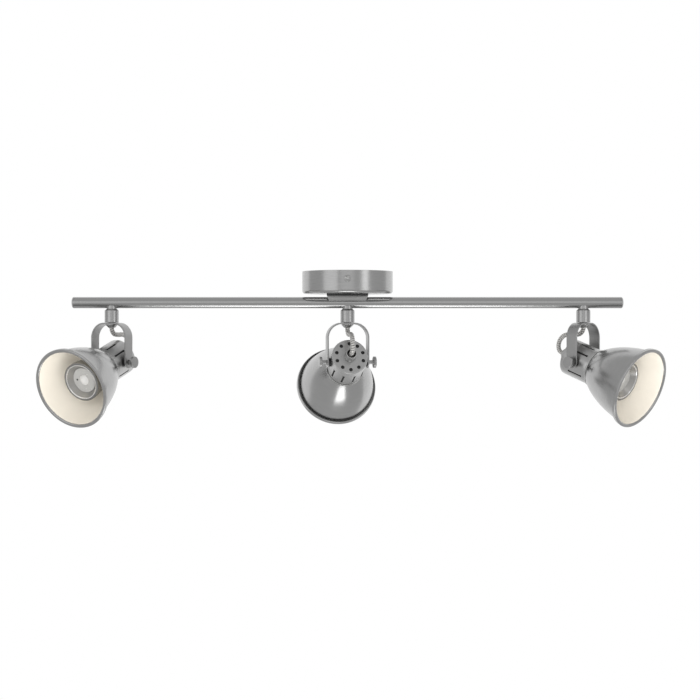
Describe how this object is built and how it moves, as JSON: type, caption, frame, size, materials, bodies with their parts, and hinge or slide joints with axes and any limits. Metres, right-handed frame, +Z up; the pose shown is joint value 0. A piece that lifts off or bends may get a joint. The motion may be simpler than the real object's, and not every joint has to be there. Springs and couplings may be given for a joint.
{
  "type": "ceiling spotlight bar",
  "caption": "Ceiling spotlight bar: round canopy, horizontal tube and bell-shaped lamp heads that swivel on stems and tilt in yokes.",
  "frame": {"origin": "middle of the mounting strap's top face, on the ceiling plane", "axes": "+X along the bar, -Y towards the front, +Z up into the ceiling"},
  "size_m": [0.6579, 0.1738, 0.1639],
  "materials": {
    "satin_nickel": "satin, brushed",
    "cream_enamel": "satin enamel",
    "zinc_steel": "zinc plated",
    "brass": "plain",
    "black_plastic": "matt",
    "white_plastic": "matt",
    "braided_sleeve": "braided",
    "ceramic": "glazed",
    "lamp_metal": "satin",
    "frosted_glass": "frosted"
  },
  "bodies": {
    "bar": {"mounting_strap": "zinc_steel", "canopy": "satin_nickel", "canopy_screw_front": "satin_nickel", "canopy_screw_back": "satin_nickel", "earth_screw": "brass", "terminal_block": "white_plastic", "saddle_gasket": "black_plastic", "saddle": "satin_nickel", "saddle_nipple": "zinc_steel", "saddle_nut": "zinc_steel", "bar_tube": "satin_nickel", "end_cap_left": "satin_nickel", "end_cap_right": "satin_nickel", "bar_wiring": "white_plastic", "stem_left": "satin_nickel", "swivel_nut_left": "satin_nickel", "stem_centre": "satin_nickel", "swivel_nut_centre": "satin_nickel", "stem_right": "satin_nickel", "swivel_nut_right": "satin_nickel"},
    "yoke_left": {"yoke_left": "satin_nickel", "lead_left": "braided_sleeve"},
    "head_left": {"lamp_can_left": "satin_nickel", "cable_gland_left": "satin_nickel", "lampholder_left": "ceramic", "neck_ring_left": "satin_nickel", "shade_left": "satin_nickel", "pivot_spacer_left_a": "black_plastic", "pivot_spacer_left_b": "black_plastic"},
    "thumb_left_a": {"thumb_screw_left_a": "satin_nickel"},
    "thumb_left_b": {"thumb_screw_left_b": "satin_nickel"},
    "lamp_left": {"lamp_body_left": "lamp_metal", "lamp_lens_left": "frosted_glass"},
    "yoke_centre": {"yoke_centre": "satin_nickel", "lead_centre": "braided_sleeve"},
    "head_centre": {"lamp_can_centre": "satin_nickel", "cable_gland_centre": "satin_nickel", "lampholder_centre": "ceramic", "neck_ring_centre": "satin_nickel", "shade_centre": "satin_nickel", "pivot_spacer_centre_a": "black_plastic", "pivot_spacer_centre_b": "black_plastic"},
    "thumb_centre_a": {"thumb_screw_centre_a": "satin_nickel"},
    "thumb_centre_b": {"thumb_screw_centre_b": "satin_nickel"},
    "lamp_centre": {"lamp_body_centre": "lamp_metal", "lamp_lens_centre": "frosted_glass"},
    "yoke_right": {"yoke_right": "satin_nickel", "lead_right": "braided_sleeve"},
    "head_right": {"lamp_can_right": "satin_nickel", "cable_gland_right": "satin_nickel", "lampholder_right": "ceramic", "neck_ring_right": "satin_nickel", "shade_right": "satin_nickel", "pivot_spacer_right_a": "black_plastic", "pivot_spacer_right_b": "black_plastic"},
    "thumb_right_a": {"thumb_screw_right_a": "satin_nickel"},
    "thumb_right_b": {"thumb_screw_right_b": "satin_nickel"},
    "lamp_right": {"lamp_body_right": "lamp_metal", "lamp_lens_right": "frosted_glass"}
  },
  "joints": [
    {"name": "swivel_left", "type": "hinge", "parent": "bar", "child": "yoke_left", "pos_m": [-0.25, 0, -0.055], "axis": [0, 0, 1], "range_deg": [-175, 175]},
    {"name": "tilt_left", "type": "hinge", "parent": "yoke_left", "child": "head_left", "pos_m": [-0.25, 0, -0.0961], "axis": [0.8695, -0.4939, 0], "range_deg": [-36, 69], "deforming": ["lead_left"]},
    {"name": "thumb_turn_left_a", "type": "hinge", "parent": "head_left", "child": "thumb_left_a", "pos_m": [-0.25, 0, -0.0961], "axis": [-0.8695, 0.4939, 0], "range_deg": [0, 360]},
    {"name": "thumb_turn_left_b", "type": "hinge", "parent": "head_left", "child": "thumb_left_b", "pos_m": [-0.25, 0, -0.0961], "axis": [0.8695, -0.4939, 0], "range_deg": [0, 360]},
    {"name": "lamp_twist_left", "type": "hinge", "parent": "head_left", "child": "lamp_left", "pos_m": [-0.25, 0, -0.0961], "axis": [-0.4611, -0.8117, -0.3584], "range_deg": [0, 30]},
    {"name": "swivel_centre", "type": "hinge", "parent": "bar", "child": "yoke_centre", "pos_m": [0, 0, -0.055], "axis": [0, 0, 1], "range_deg": [-175, 175]},
    {"name": "tilt_centre", "type": "hinge", "parent": "yoke_centre", "child": "head_centre", "pos_m": [0, 0, -0.0961], "axis": [-0.9839, -0.1788, 0], "range_deg": [-36, 69], "deforming": ["lead_centre"]},
    {"name": "thumb_turn_centre_a", "type": "hinge", "parent": "head_centre", "child": "thumb_centre_a", "pos_m": [0, 0, -0.0961], "axis": [0.9839, 0.1788, 0], "range_deg": [0, 360]},
    {"name": "thumb_turn_centre_b", "type": "hinge", "parent": "head_centre", "child": "thumb_centre_b", "pos_m": [0, 0, -0.0961], "axis": [-0.9839, -0.1788, 0], "range_deg": [0, 360]},
    {"name": "lamp_twist_centre", "type": "hinge", "parent": "head_centre", "child": "lamp_centre", "pos_m": [0, 0, -0.0961], "axis": [-0.1669, 0.9185, -0.3584], "range_deg": [0, 30]},
    {"name": "swivel_right", "type": "hinge", "parent": "bar", "child": "yoke_right", "pos_m": [0.25, 0, -0.055], "axis": [0, 0, 1], "range_deg": [-175, 175]},
    {"name": "tilt_right", "type": "hinge", "parent": "yoke_right", "child": "head_right", "pos_m": [0.25, 0, -0.0961], "axis": [0.6414, 0.7672, 0], "range_deg": [-36, 69], "deforming": ["lead_right"]},
    {"name": "thumb_turn_right_a", "type": "hinge", "parent": "head_right", "child": "thumb_right_a", "pos_m": [0.25, 0, -0.0961], "axis": [-0.6414, -0.7672, 0], "range_deg": [0, 360]},
    {"name": "thumb_turn_right_b", "type": "hinge", "parent": "head_right", "child": "thumb_right_b", "pos_m": [0.25, 0, -0.0961], "axis": [0.6414, 0.7672, 0], "range_deg": [0, 360]},
    {"name": "lamp_twist_right", "type": "hinge", "parent": "head_right", "child": "lamp_right", "pos_m": [0.25, 0, -0.0961], "axis": [0.7162, -0.5988, -0.3584], "range_deg": [0, 30]}
  ]
}
